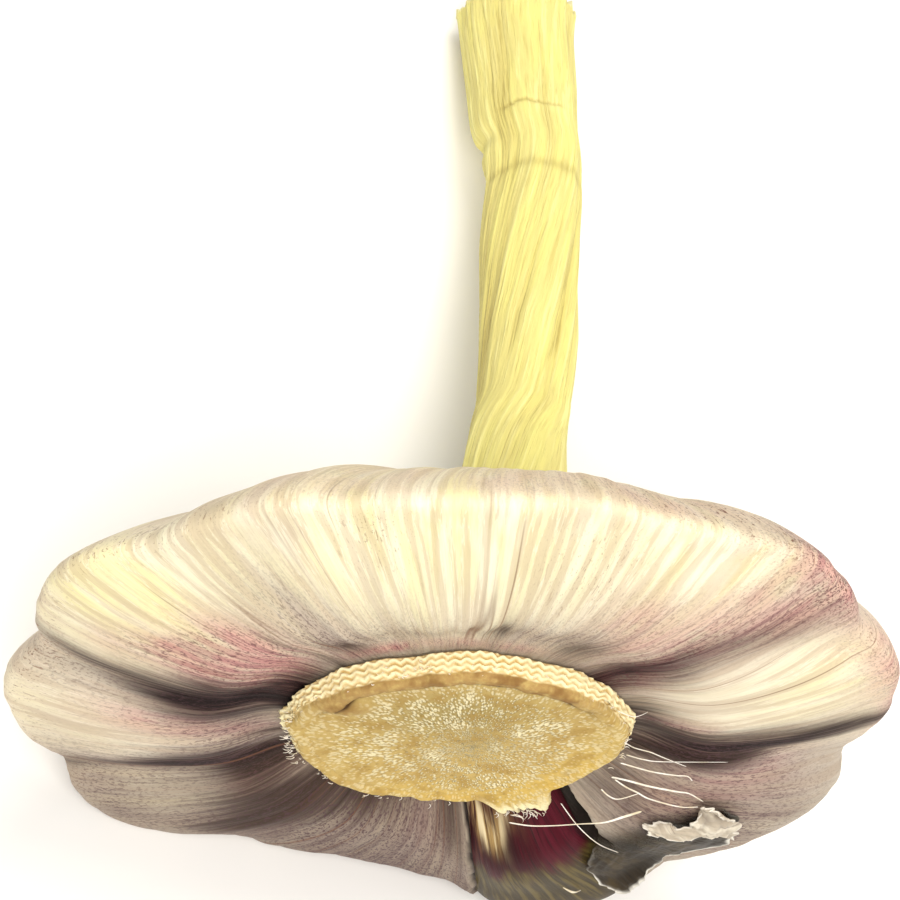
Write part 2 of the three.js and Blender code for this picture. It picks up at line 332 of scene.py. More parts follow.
def makeRootPlate():
    # Dried corky tissue under the bulb, cut flat: a golden tan face packed with the pale ends of old roots, and round
    # it the crimped cream feet of the skins. The eye gets rice-grain flecks that fan out of the middle, all matt. A
    # brown line under the raised ridge is painted shadow.
    material, tree, shader = newMaterial("dried root plate tissue", Roughness=0.8, Specular_IOR_Level=0.25)
    fan = addNode(tree, "Attribute", output="Vector", attribute_name="fan")
    coords = addNode(tree, "TexCoord", output="Object")
    patterns = addPatterns(tree, coords, [("soft", (260, 260, 260), 4), ("grit", (2300, 2300, 2300), 3),
                                          ("stain", (520, 520, 520), 3)])
    patterns |= addPatterns(tree, fan, [("fibre", (1, 1, 0.35), 3)])
    grains = addNode(tree, "TexVoronoi", {"Vector": fan, "Scale": 1.0, "Randomness": 0.9}, "Distance")
    # some grains are worn away, more so in patches
    patterns["grain"] = addNode(tree, "Math", {0: patterns["stain"], 1: 1.0, 2: grains}, operation="MULTIPLY_ADD")
    color = addLayers(tree, "c0a465", patterns, [
        ("all", "soft", 0.35, 0.65, 0.8, "c9ae69"),
        ("middle", "soft", 0.2, 0.5, 0.7, "988854"),
        ("gold", "stain", 0.3, 0.6, 0.8, "e0bd5e"),
        ("all", "stain", 0.5, 0.68, 0.6, "a27f3c"),
        ("face", "fibre", 0.46, 0.34, 0.6, "8f7334"),
        ("face", "grain", 1.03, 0.8, 0.9, "fcf0c4"),
        ("ridge", "grit", 0.25, 0.6, 0.75, "a5814d"),
        ("ridge", "stain", 0.46, 0.66, 0.7, "7f5a2e"),
        # painted shadow: a brown line along the step under the raised ridge
        ("step", "soft", 0.0, 0.2, 0.9, "4a3010"),
        ("crimp", "grit", 0.1, 0.3, 1.0, "c9a868"),
        ("crest", "soft", 0.1, 0.3, 1.0, "fff4c6"),
    ])
    face = addNode(tree, "Attribute", output="Fac", attribute_name="face")
    height = addNode(tree, "MapRange", {"Value": patterns["grain"], "From Min": 1.0, "From Max": 0.7})
    patterns["grainTop"] = addNode(tree, "Math", {0: height, 1: face}, operation="MULTIPLY")
    dressShader(tree, shader, color, patterns, [("grainTop", 0.12), ("grit", 0.1), ("stain", 0.2)])
    return material


def makeDryStalk():
    # Withered leaf sheaths round a hard stalk, dried in air: straw yellow and matt, with fibres that run along it and
    # slant where it twisted. The eye gets long pale and olive streaks and a few cross creases. Painted shade darkens
    # the stalk's left side, the hollows of its folds and its creases.
    material, tree, shader = newMaterial("dried garlic stalk", Roughness=0.65, Specular_IOR_Level=0.25)
    streak = addNode(tree, "Attribute", output="Vector", attribute_name="streak")
    patterns = addPatterns(tree, streak, [("broad", (2.6, 2.6, 3), 3), ("fibre", (9, 9, 3), 4),
                                          ("thread", (26, 26, 5), 4), ("pore", (60, 60, 60), 2)])
    color = addLayers(tree, "e4d988", patterns, [
        ("all", "broad", 0.4, 0.62, 0.8, "eee58a"),
        ("all", "fibre", 0.5, 0.66, 0.7, "f7f0a4"),
        ("all", "fibre", 0.44, 0.3, 0.6, "cdbc6c"),
        ("all", "thread", 0.42, 0.3, 0.45, "b8a45a"),
        # painted shade on the stalk's left side and in the hollows of its folds
        ("hollow", "fibre", 0.2, 0.6, 0.6, "c4b062"),
        ("hollow", "thread", 0.5, 0.38, 0.6, "a08c48"),
        # painted shade in the cross creases
        ("crease", "pore", 0.1, 0.5, 0.8, "97803c"),
        ("tip", "thread", 0.3, 0.6, 0.9, "fbf6dc"),
    ])
    dressShader(tree, shader, color, patterns, [("fibre", 0.22), ("thread", 0.08)])
    return material


def makeCloveSkin():
    # The tight inner skin of one clove: smooth and satiny. The eye gets dark burgundy by the plate with cream scuffs,
    # turning to olive cream on the clove's back. Painted shade darkens a patch on it and its edges where they run in
    # under the skin.
    material, tree, shader = newMaterial("burgundy clove skin", Roughness=0.45, Specular_IOR_Level=0.15)
    streak = addNode(tree, "Attribute", output="Vector", attribute_name="streak")
    patterns = addPatterns(tree, streak, [("band", (22, 22, 5), 4), ("vein", (60, 60, 6), 4)])
    color = addLayers(tree, "4c0e1c", patterns, [
        ("all", "band", 0.42, 0.64, 0.8, "5e1828"),
        ("all", "vein", 0.46, 0.34, 0.8, "2c1016"),
        # painted shade on a patch of the clove and at its edges
        ("deep", "band", 0.2, 0.5, 0.9, "261012"),
        ("scuff", "vein", 0.34, 0.5, 0.9, "b2945f"),
        ("scuff", "band", 0.46, 0.56, 0.9, "ecdcb4"),
        ("olive", "band", 0.05, 0.35, 1.0, "40341a"),
        ("olive", "vein", 0.46, 0.62, 0.8, "6e5f30"),
        ("olive", "vein", 0.44, 0.34, 0.9, "3b301c"),
    ])
    dressShader(tree, shader, color, patterns, [("vein", 0.12)])
    return material


def makeTornSkin(name, base, pale, veinAndFoldShade):
    # One dry layer of skin torn loose, so thin that light comes through, with creases and bleached edges. Painted
    # shade darkens its creases, in the same colour as its veins.
    material, tree, shader = newMaterial(name, Roughness=0.5, Specular_IOR_Level=0.3)
    streak = addNode(tree, "Attribute", output="Vector", attribute_name="streak")
    patterns = addPatterns(tree, streak, [("band", (16, 16, 8), 4), ("vein", (60, 60, 7), 4)])
    color = addLayers(tree, base, patterns, [
        ("all", "band", 0.45, 0.62, 0.9, pale),
        ("all", "vein", 0.44, 0.34, 0.8, veinAndFoldShade),
        # painted shade in the creases of the crumpled sheet
        ("fold", "band", 0.2, 0.5, 0.9, veinAndFoldShade),
        ("edge", "band", 0.0, 0.2, 0.9, "fbf6ea"),
    ])
    cover = addNode(tree, "Attribute", output="Fac", attribute_name="cover")
    tree.links.new(cover, shader.inputs["Alpha"])
    dressShader(tree, shader, color, patterns, [("vein", 0.15)])
    return material


def makeSkinThread():
    # Dried threads torn out of the skins, bleached nearly white and a little glossy.
    material, tree, shader = newMaterial("bleached skin threads", Roughness=0.45, Specular_IOR_Level=0.4)
    coords = addNode(tree, "TexCoord", output="Object")
    tint = addNode(tree, "TexNoise", {"Vector": coords, "Scale": 900.0, "Detail": 2.0})
    color = addNode(tree, "ValToRGB", {"Fac": tint}, stops=[(0.35, "e6d8b8"), (0.6, "fffaf0")])
    tree.links.new(color, shader.inputs["Base Color"])
    return material


skinMaterial = makeGarlicSkin()
plateMaterial = makeRootPlate()
stalkMaterial = makeDryStalk()
cloveMaterial = makeCloveSkin()
membraneMaterial = makeTornSkin("torn garlic membrane", "2b2113", "44371f", "1b140a")
scrapMaterial = makeTornSkin("crumpled garlic skin", "bdb09c", "e8dfcc", "83766a")
threadMaterial = makeSkinThread()
print("materials made")


# The bulb in its skins. Angles run from +x towards +y, and along goes from 0 at the plate to 1 at the neck.
bulb = {
    "plateHalf": (12.3, 9.6),
    "plateCentre": (0.6, -1.2),
    "plateThickness": 2.1,
    "equatorOut": -5.2,
    "neckOut": -27,
    "neckRadius": 3.4,
    "neckCentre": (5, -10),
    "gap": 0.3,
    # the cloves on the right lean upwards by this angle, between these alongs
    "lean": (12, 0.16, 0.42),
    # how far the skin is drawn in under the stem's foot
    "drawnIn": 2.0,
    # each clove's middle angle, reach, front, shoulder and groove
    "cloves": [
        (356, 31.5, 0.2, 0.62, 0.13), (387, 28.8, 0.0, 0.4, 0.08), (419, 23.8, 0.0, 0.37, 0.045),
        (452, 21.9, 0.0, 0.4, 0.04), (484, 24.7, 0.0, 0.47, 0.08), (516, 29.2, 0.3, 0.38, 0.15),
        (548, 31.4, 0.2, 0.62, 0.11), (578, 32.7, 0.3, 0.6, 0.15), (612, 27.3, 0.8, 0.66, 0.07),
        (645, 31.3, 2.8, 0.66, 0.09), (683, 33.0, 1.0, 0.58, 0.14),
    ],
    # patches of colour, some of them painted shade: middle angle and along, half width of each, and strength
    "cream": [(150, 0.36, 14, 0.15, 1.0), (42, 0.4, 10, 0.15, 1.0), (92, 0.4, 45, 0.28, 1.0),
              (5, 0.34, 11, 0.13, 0.8), (186, 0.38, 12, 0.12, 0.4), (214, 0.31, 10, 0.1, 0.5),
              (60, 0.75, 60, 0.2, 0.4)],
    "rose": [(146, 0.19, 9, 0.08, 1.0), (158, 0.15, 10, 0.09, 0.8), (150, 0.09, 16, 0.05, 0.8),
             (100, 0.045, 48, 0.022, 0.9), (20, 0.08, 8, 0.05, 0.6), (44, 0.6, 14, 0.1, 0.4),
             (22, 0.5, 13, 0.11, 0.85), (92, 0.55, 45, 0.08, 0.25), (5, 0.42, 10, 0.08, 0.3),
             (45, 0.22, 9, 0.07, 0.45), (338, 0.24, 8, 0.08, 0.7), (330, 0.18, 10, 0.05, 0.5),
             (262, 0.16, 9, 0.1, 0.3), (66, 0.64, 16, 0.12, 0.3), (122, 0.7, 22, 0.1, 0.3),
             (172, 0.52, 12, 0.1, 0.3), (355, 0.46, 12, 0.06, 0.4), (240, 0.55, 40, 0.15, 0.4),
             (300, 0.6, 30, 0.15, 0.4)],
    # grey-mauve colouring; on the lowest cloves these patches are partly painted shade
    "grey": [(112, 0.12, 26, 0.08, 0.55), (60, 0.12, 16, 0.07, 0.7), (250, 0.22, 20, 0.24, 1.0),
             (225, 0.22, 14, 0.14, 0.8), (186, 0.14, 14, 0.08, 0.6), (275, 0.4, 20, 0.15, 0.9),
             (322, 0.26, 14, 0.14, 0.9), (212, 0.37, 12, 0.07, 0.5), (345, 0.2, 10, 0.14, 0.6),
             (200, 0.24, 8, 0.16, 0.6), (172, 0.34, 5, 0.14, 0.5), (128, 0.2, 7, 0.12, 0.6),
             (25, 0.5, 11, 0.08, 0.9)],
    # purple-black spots, and painted shadow under the plate's lower left at 232 and 238 degrees
    "dark": [(238, 0.11, 14, 0.05, 1.3), (232, 0.06, 12, 0.04, 1.0), (155, 0.04, 18, 0.05, 0.7),
             (215, 0.17, 9, 0.06, 0.7), (205, 0.14, 7, 0.05, 0.6), (74, 0.12, 4, 0.05, 0.6),
             (45, 0.1, 7, 0.06, 0.5), (128, 0.1, 6, 0.05, 0.5), (2, 0.08, 9, 0.05, 0.6),
             (268, 0.12, 6, 0.08, 0.4), (324, 0.12, 10, 0.06, 0.6)],
    "speck": [(142, 0.5, 22, 0.07, 0.8), (42, 0.58, 22, 0.1, 1.0), (92, 0.76, 34, 0.08, 0.7),
              (22, 0.5, 14, 0.1, 1.0), (172, 0.42, 14, 0.07, 0.7), (104, 0.36, 8, 0.1, 0.5),
              (62, 0.3, 10, 0.1, 0.5), (200, 0.42, 20, 0.06, 0.4)],
    # stripes that run outwards: along, angle, half width and strength at points on their way
    "stripes": {
        # in the grooves between cloves: purple-black colour and painted shade together
        "dark": [
            [(0, 174, 11, 1.3), (0.13, 172, 9.5, 1.35), (0.19, 170, 8.5, 1.3), (0.25, 169.5, 5, 1.1),
             (0.32, 169, 3, 0.8), (0.45, 166, 2, 0.4), (0.55, 165, 1.5, 0)],
            [(0, 204, 8, 1.2), (0.1, 202, 7, 1.2), (0.16, 199, 6.5, 1.2), (0.22, 198, 4.5, 1), (0.3, 200, 2.5, 0.5),
             (0.45, 204, 2, 0.3), (0.6, 204, 2, 0)],
            [(0, 191, 2.5, 0.7), (0.1, 191, 2, 0.5), (0.16, 190, 2, 0)],
            [(0, 225, 11, 1.2), (0.12, 225, 8, 1.2), (0.17, 226.5, 8, 1.5), (0.22, 226, 6.5, 1.5),
             (0.27, 225.5, 4.5, 1), (0.34, 225, 3, 0)],
            [(0, 340, 12, 1.2), (0.1, 343, 10, 1.2), (0.15, 347, 7, 1.2), (0.23, 349, 5, 1.1), (0.31, 351, 2.4, 0.8),
             (0.45, 351, 1.2, 0.5), (0.6, 350, 1, 0)],
            [(0, 26, 14, 0.55), (0.12, 27, 10, 0.7), (0.21, 27, 6, 0.8), (0.26, 25, 5, 0.7), (0.33, 22, 4, 0.4),
             (0.45, 20, 4, 0)],
        ],
        "rose": [
            [(0.05, 150, 8, 0), (0.13, 147, 8, 0.9), (0.22, 150, 7, 0.9), (0.29, 158, 5, 0.5), (0.36, 160, 4, 0)],
            [(0.05, 187, 5, 0.3), (0.13, 186, 5, 0.8), (0.18, 182, 5, 0.8), (0.25, 181, 4, 0.6), (0.35, 180, 4, 0)],
            [(0.05, 212, 6, 0.5), (0.16, 210, 6, 0.8), (0.22, 213, 5, 0)],
            [(0.03, 37, 5, 0.3), (0.15, 39, 4, 0.7), (0.22, 36, 4, 0.8), (0.29, 36, 3, 0.7), (0.37, 33, 3, 0.5),
             (0.5, 29, 5, 0.3), (0.6, 28, 5, 0)],
            [(0.06, 34, 6, 0), (0.14, 33, 9, 0.7), (0.24, 32, 9, 0.8), (0.32, 28, 8, 0.7), (0.42, 24, 7, 0.5),
             (0.55, 20, 7, 0)],
            [(0.1, 24, 5, 0.6), (0.2, 29, 5, 0.9), (0.28, 26, 5, 0.7), (0.4, 23, 4, 0.3), (0.5, 21, 4, 0)],
            [(0.02, 355, 4, 0.5), (0.14, 357, 4, 0.7), (0.2, 357, 4, 0)],
        ],
    },
    # the torn window: left edge, right edge near the plate and at its far end, alongs and depths
    "window": {"left": 273, "right": (310, 297), "near": 0.1, "far": 0.43, "depth": 0.9, "leftDepth": 0.5,
               "gap": (306.5, 0.18, 2.6, 0.03, 1.0), "gapDepth": 1.6},
}
cloves = np.array(bulb["cloves"])


def between(angle):
    first = cloves[0, 0]
    a = first + np.mod(angle - first, 360)
    here = np.searchsorted(cloves[:, 0], a, side="right") - 1
    after = (here + 1) % len(cloves)
    return here, after, (a - cloves[here, 0]) / np.mod(cloves[after, 0] - cloves[here, 0], 360)


def cloveValue(angle, column):
    here, after, share = between(angle)
    return lerp(cloves[here, column], cloves[after, column], smoothstep(share))


def grooveAt(angle):
    # the groove's depth beside each clove, rounded off at its bottom
    total = 0
    for turn, weight in ((-2.2, 0.25), (0, 0.5), (2.2, 0.25)):
        here, after, share = between(angle + turn)
        depth = lerp(cloves[here, 4], cloves[after, 4], smoothstep(share))
        total = total + weight * depth * (1 - np.abs(2 * share - 1)) ** 2.4
    return total


def leanOf(angle, along):
    # the fronts of the leaning cloves meet the plate further round than their backs reach
    a = np.mod(angle - 180, 360) - 180
    onRight = smoothstep(a, -38, -11) * (1 - smoothstep(a, 35, 70))
    lean, start, end = bulb["lean"]
    return lean * onRight * (1 - smoothstep(along, start, end))


def plateEdge(angle):
    a = np.radians(angle)
    halfWidth, halfHeight = bulb["plateHalf"]
    return 1 / np.hypot(np.cos(a) / halfWidth, np.sin(a) / halfHeight)


def skinPoint(angle, along):
    cloveAngle = angle - leanOf(angle, along)
    reach, front, full = (cloveValue(cloveAngle, column) for column in (1, 2, 3))
    edge, depth, one = plateEdge(angle), grooveAt(cloveAngle), np.ones_like(reach)
    under, equator, neck = -bulb["plateThickness"], bulb["equatorOut"], bulb["neckOut"]
    rows = [
        (edge - 1.4, one * (under - bulb["gap"]), 0),
        (edge + 1.1, one * (under - 0.2), 0.5),
        (lerp(edge, reach, 0.3), front - 1.7, 0.95),
        (lerp(edge, reach, 0.6), front - 2.5, 1),
        (lerp(edge, reach, 0.87), front - 4, 1),
        (reach, one * equator, 1),
        (0.955 * reach, lerp(equator, neck, 0.28 * full), 1),
        (0.77 * reach, lerp(equator, neck, lerp(0.18, 0.62, full)), 0.9),
        (0.47 * reach, lerp(equator, neck, lerp(0.5, 0.86, full)), 0.6),
        (0.24 * reach, lerp(equator, neck, lerp(0.84, 0.96, full)), 0.25),
        (one * (bulb["neckRadius"] + 0.9), one * (neck + 0.25), 0.05),
        (one * bulb["neckRadius"], one * (neck - 1.2), 0),
    ]
    core = np.stack([0.45 * reach, one * (equator - 1.5)], axis=-1)
    curve = np.stack([
        (np.stack([r, out], axis=-1) - core) * (1 - depth * share)[:, None] + core for r, out, share in rows
    ], axis=1)
    p = splinePoints(curve, along)
    nearPlate = 1 - smoothstep(-p[:, 1], 0, -equator)
    nearNeck = smoothstep(-p[:, 1], -equator, -neck)
    centre = nearPlate[:, None] * bulb["plateCentre"] + nearNeck[:, None] * bulb["neckCentre"]
    a = np.radians(angle)
    return np.stack([p[:, 0] * np.cos(a) + centre[:, 0], p[:, 0] * np.sin(a) + centre[:, 1], p[:, 1]], axis=-1)


def skinNormal(angle, along):
    sideways = skinPoint(angle + 0.5, along) - skinPoint(angle - 0.5, along)
    onward = skinPoint(angle, np.minimum(along + 0.01, 1)) - skinPoint(angle, np.maximum(along - 0.01, 0))
    n = np.cross(onward, sideways)
    return n / np.linalg.norm(n, axis=1, keepdims=True)


def overSkin(angle, along, height):
    return skinPoint(angle, along) + skinNormal(angle, along) * height[:, None]


def painted(angle, along, patches):
    total = np.zeros_like(along)
    for middle, depth, halfAngle, halfDepth, strength in patches:
        turn = np.mod(angle - middle + 180, 360) - 180
        total += strength * np.exp(-(turn / halfAngle) ** 2 - ((along - depth) / halfDepth) ** 2)
    return np.clip(total, 0, 1)


def striped(angle, along, stripes):
    total = np.zeros_like(along)
    for stripe in stripes:
        places, angles, halves, strengths = np.array(stripe, dtype=float).T
        turn = np.mod(angle - np.interp(along, places, angles) + 180, 360) - 180
        total += np.interp(along, places, strengths) * np.exp(-(turn / np.interp(along, places, halves)) ** 2)
    return total


def windowShare(angle, along, inset=0.0):
    # 1 inside the torn window and 0 outside, with a short ragged edge
    window = bulb["window"]
    v = (along - window["near"]) / (window["far"] - window["near"])
    ragged = 0.25 * np.sin(along * 90) + 0.15 * np.sin(along * 217)
    left = window["left"] + ragged + inset
    right = lerp(window["right"][0], window["right"][1], np.clip(v, 0, 1)) + ragged - inset
    a = np.mod(angle, 360)
    inside = smoothstep(a, left - 0.3, left + 0.3) * (1 - smoothstep(a, right - 0.3, right + 0.3))
    return inside * smoothstep(v, -0.04, 0.0) * (1 - smoothstep(v, 0.98, 1.04))


def skinRelief(angle, along):
    # millimetres of folds, dents and pleats over the plain skin
    folds = waves(aroundPoint(angle, along, 12, 3.5), 3)
    dents = waves(aroundPoint(angle, along, 4, 5), 2, 5.3)
    pleats = waves(aroundPoint(angle, along, 30, 2.5), 2, 9.1)
    nearPlate = 1 - smoothstep(along, 0.08, 0.36)
    body = smoothstep(along, 0.04, 0.12) * (1 - smoothstep(along, 0.9, 1.0))
    return body * (0.12 * folds + 0.14 * dents + (0.05 + 0.2 * nearPlate) * pleats)


def makeBulb():
    rings = 200
    obj, turn, ring = ball("garlicSkin", 400, rings)
    # more of the vertices lie by the torn window, where the skin ends in a thin edge
    turn = np.interp(np.mod(turn, 360), (0, 225, 318, 360), (0, 264, 316, 360))
    along = np.clip((ring * rings - 1) / (rings - 2), 0, 1)
    window = bulb["window"]
    torn = windowShare(turn, along)
    gapShare = painted(turn, along, [window["gap"]]) * torn
    depth = lerp(window["leftDepth"], window["depth"], smoothstep(turn, 276, 292))
    height = skinRelief(turn, along) - depth * torn - window["gapDepth"] * gapShare
    height += 0.05 * windowShare(turn, along, -0.5) * (1 - torn)
    height -= bulb["drawnIn"] * smoothstep(along, 0.8, 0.9)
    points = overSkin(turn, along, height)
    points[ring < 0.5 / rings] = (*bulb["plateCentre"], -bulb["plateThickness"] - bulb["gap"])
    points[ring > 1 - 0.5 / rings] = (*bulb["neckCentre"], bulb["neckOut"] - 1.2)
    setPoints(obj, toWorld(onTable(points)))
    # painted shadow under the plate's rim, strongest from the left round the lower side and widest on the lower left
    shade = 0.045 + 0.06 * np.exp(-((turn - 236) / 24) ** 2)
    shadowUnderPlate = (1 - smoothstep(along, 0.01, shade)) * (0.2 + 0.8 * (turn > 160))
    cloveTurn = turn - leanOf(turn, along)
    # painted shade in the grooves between cloves, weaker from the right round to the upper side
    groove = (1 - np.abs(2 * between(cloveTurn)[2] - 1)) ** 8 * grooveAt(cloveTurn) / 0.15
    groove *= lerp(0.3, 1, smoothstep(turn, 90, 160))
    uneven = 0.8 + 0.5 * waves(aroundPoint(turn, along, 5, 4), 2, 13.0)
    # purple-black spots and streaks, with painted shade in the grooves and under the plate's lower left
    dark = (painted(turn, along, bulb["dark"]) + striped(turn, along, bulb["stripes"]["dark"])) * uneven
    rose = painted(turn, along, bulb["rose"]) + striped(turn, along, bulb["stripes"]["rose"])
    # painted shade: the lowest cloves turn away from the light, so their colour is darkened
    low = 0.6 * smoothstep(turn, 196, 208) + 0.4 * smoothstep(turn, 215, 235)
    low = low * (1 - 0.4 * smoothstep(turn, 300, 318)) * (1 - smoothstep(turn, 338, 352))
    lines = (0.15 + 1.3 * waves(aroundPoint(turn, along, 5, 3), 2, 21.0)) * smoothstep(along, 0.03, 0.1)
    # among these, painted shade: under the plate's rim, over the floor of the torn window and in the grooves
    keepValues(obj, streak=aroundPoint(turn, along, 1, 1.6), all=np.ones_like(along),
               cream=painted(turn, along, bulb["cream"]), rose=np.clip(rose * uneven, 0, 1),
               grey=painted(turn, along, bulb["grey"]), dark=np.clip(dark, 0, 1),
               deep=np.clip(shadowUnderPlate + torn + groove * (1 - smoothstep(along, 0.06, 0.32)), 0, 0.95),
               speck=painted(turn, along, bulb["speck"]), low=low,
               line=np.clip(lines, 0, 1) * (1 - smoothstep(along, 0.45, 0.65)),
               edge=np.clip(windowShare(turn, along, -0.5) - torn, 0, 1))
    finishPiece(obj, skinMaterial, "papery_skin", "bulb")


makeBulb()

# Where the camera sees the lower right of the skin: used to place what is torn there.
spots = {"angles": (255, 380, 0.25), "alongs": (0.03, 0.5, 0.002)}
spotAngle, spotAlong = (g.ravel() for g in np.meshgrid(np.arange(*spots["angles"]), np.arange(*spots["alongs"])))
spotPoint, spotNormal = skinPoint(spotAngle, spotAlong), skinNormal(spotAngle, spotAlong)
spotFaces = np.sum(spotNormal * (eye - spotPoint), axis=1) > 0


def seenOnSkin(x, y, height):
    # the angle and along of the skin whose point at this height is seen at a pixel of the photograph
    px, py = pixelOf(spotPoint + spotNormal * height)
    best = np.argmin(np.hypot(px - x, py - y) + 999 * ~spotFaces)
    return spotAngle[best], spotAlong[best]


# The root plate's section, from the middle of its cut face over the rim to the middle below: share of the edge
# and height.
plate = {
    "section": [(0, -0.16), (0.22, -0.2), (0.44, -0.26), (0.66, -0.32), (0.84, -0.38), (0.86, -0.3), (0.875, -0.02),
                (0.92, 0.02), (0.935, -0.06), (0.95, -0.25), (0.96, -0.7), (0.975, -1.1), (0.985, -1.5),
                (1.0, -1.9), (0.97, -2.1), (0.6, -2.12), (0, -2.12)],
    "teeth": 71, "rowHeight": 0.43, "crimpDepth": 0.09,
    "tongue": {"angle": 295, "half": 12, "length": 0.27},
    # a smooth flap on the upper left of the face: its middle, half sizes and height
    "flap": (-6.8, 3.6, 1.6, 0.9, 0.4),
    # a scratch across the upper left: its middle x, half length, y at x = 0, slope, half width and depth
    "scratch": (-0.2, 2, 1.92, -0.3, 0.12, 0.15),
    "fanMiddle": (1.8, -1.6),
    # colour: the duller middle of the face, and patches of gold by angle and share of 10 mm
    "dullMiddle": (0.5, 6, 2.6, 3.2),
    "gold": [(320, 0.95, 30, 0.35, 1.0), (270, 0.8, 60, 0.2, 0.7)],
}


def makePlate():
    rings = 200
    obj, turn, ring = ball("rootPlate", 480, rings)
    section = np.array(plate["section"])
    lengths = np.concatenate([[0], np.cumsum(np.hypot(*np.diff(section * (11, 1), axis=0).T))])
    # two fifths of the rings lie on the face, and most of the rest on the rim
    spent = np.interp(ring, [0, 0.42, 0.9, 1], lengths[[0, 6, 14, 16]])
    share, out = np.interp(spent, lengths, section[:, 0]), np.interp(spent, lengths, section[:, 1])
    a = np.radians(turn)
    upper = smoothstep(np.sin(a - 0.35), -0.15, 0.4) * (1 - smoothstep(np.mod(turn, 360), 144, 164))
    left = painted(turn, 0 * a, [(182, 0, 26, 1, 1.0)])
    tongueRow = plate["tongue"]
    tongue = np.exp(-((np.mod(turn, 360) - tongueRow["angle"]) / tongueRow["half"]) ** 4)
    tongue *= smoothstep(out, -1.1, -0.5)
    uneven = 0.014 * np.sin(5 * a + 1) + 0.012 * np.sin(8 * a + 2.4) + 0.008 * np.sin(19 * a)
    ragged = waves(aroundPoint(turn, 0 * a, 9, 0), 3) * (0.01 + 0.016 * left)
    frayed = waves(aroundPoint(turn, 0 * a, 45, 0), 2, 3.3) * 0.06 * tongue
    edge = plateEdge(turn) * (1 + smoothstep(share, 0.3, 0.9) * (uneven + ragged + frayed - 0.02
                                                               + tongueRow["length"] * tongue))
    rim = smoothstep(share, 0.925, 0.95) * (1 - smoothstep(out, -0.65, -0.45)) * smoothstep(out, -2.1, -1.9)
    tooth = 2 * np.abs(np.mod(turn / 360 * plate["teeth"], 1) * 2 - 1) - 1
    drift = 0.2 * waves(aroundPoint(turn, 0 * a, 6, 0), 2, 5.0)
    sharpness = 0.75 + 0.5 * waves(aroundPoint(turn, out, 20, 2), 2, 8.0)
    rows = np.cos(2 * math.pi * (out / plate["rowHeight"] + 0.3 * tooth + drift)) * np.clip(sharpness, 0.2, 1.2)
    rough = waves(aroundPoint(turn, out, 60, 5), 2, 4.0)
    reach = share * edge + (plate["crimpDepth"] * rows + (0.06 + 0.2 * left) * rough) * rim
    # the ridge round the upper side stands, and is worn down elsewhere
    raised = smoothstep(share, 0.845, 0.875) * (out > -0.9)
    wavyRidge = 0.12 * waves(aroundPoint(turn, share, 7, 6), 2, 6.6) * raised
    out = out - (0.3 * (1 - upper) * raised) - 0.3 * tongue * smoothstep(share, 0.8, 0.95) + wavyRidge
    centre = bulb["plateCentre"]
    points = np.stack([centre[0] + reach * np.cos(a), centre[1] + reach * np.sin(a), out], axis=-1)
    top = out > -0.8
    flapX, flapY, flapWidth, flapHeight, flapRise = plate["flap"]
    x, y = points[:, 0], points[:, 1]
    fromFlap = np.hypot((x - flapX) / flapWidth, (y - flapY) / flapHeight)
    flap = np.exp(-fromFlap ** 4) * top
    points[:, 2] += flapRise * flap
    points[:, 2] += (0.07 * waves(points * 0.6, 3, 2.0) + 0.03 * waves(points * 3, 2, 7.0)) * top
    scratchX, halfLength, level, slope, halfWidth, depth = plate["scratch"]
    offScratch = np.abs(y - level - slope * x) + 99 * (np.abs(x - scratchX) > halfLength)
    points[:, 2] -= depth * np.exp(-(offScratch / halfWidth) ** 2) * top
    setPoints(obj, toWorld(points))
    fromMiddle = points[:, :2] - plate["fanMiddle"]
    radius = np.hypot(fromMiddle[:, 0], fromMiddle[:, 1]) + 1e-6
    crowding = (0.05 + radius / 9) ** 0.6
    fan = np.concatenate([fromMiddle / radius[:, None] * 36 * crowding[:, None], radius[:, None] * 0.4], axis=1)
    ridge = np.clip(raised * upper * (1 - rim) + 0.6 * flap, 0, 1)
    # painted shadow along the step below the raised ridge on the upper side
    stepShadow = 1.3 * np.exp(-((share - 0.852) / 0.022) ** 2) * upper * (out > -0.8)
    pale = np.clip(rim * (0.62 + 0.7 * rows) + tongue * smoothstep(share, 0.8, 0.9), 0, 1)
    face = (1 - smoothstep(share, 0.83, 0.87) * upper) * (1 - rim) * (1 - flap)
    # the grains are worn away towards the edge
    face *= 1 - 0.6 * smoothstep(share, 0.55, 0.85)
    dullX, halfX, dullY, halfY = plate["dullMiddle"]
    keepValues(obj, fan=fan, all=np.ones_like(share), face=face,
               middle=np.exp(-((x - dullX) / halfX) ** 2 - ((y - dullY) / halfY) ** 2),
               crimp=rim, crest=pale, ridge=ridge, step=stepShadow,
               gold=painted(np.degrees(np.arctan2(fromMiddle[:, 1], fromMiddle[:, 0])), radius / 10, plate["gold"]))
    finishPiece(obj, plateMaterial, "root_plate", "root_plate")


makePlate()

# The dry stem: middles of a flattened tube and its widths, from the neck to the cut end.
stem = {
    "middles": [(5, -10, -24.4), (5.1, -10.1, -30.5), (5.6, -10.3, -35), (6.1, -10.8, -41.5), (6.45, -11.6, -50.3),
                (6.9, -12.4, -57.7), (6.2, -13, -63.5), (6.05, -13.4, -67.7), (5.7, -13.9, -73), (5.7, -14.3, -75.9)],
    "widths": [8.4, 7.4, 6.95, 7.5, 7.7, 7.6, 8.4, 8.8, 9.2, 9.7],
    "flatness": 0.78,
    # where the sheaths' main fold runs: share of the way, and degrees round from the right side
    "fold": [(0, 165), (0.2, 115), (0.33, 100), (0.45, 72), (0.6, 50), (1, 48)],
    # cross creases on the upper side: share of the way, arch, half width, depth, and how far round they reach
    "creases": [(0.665, 0.014, 0.004, 1.0, 0.8), (0.545, 0.01, 0.008, 0.6, 0.3)],
    # a dent in the left side: share of the way, half width and depth
    "dent": (0.625, 0.018, 0.12),
}


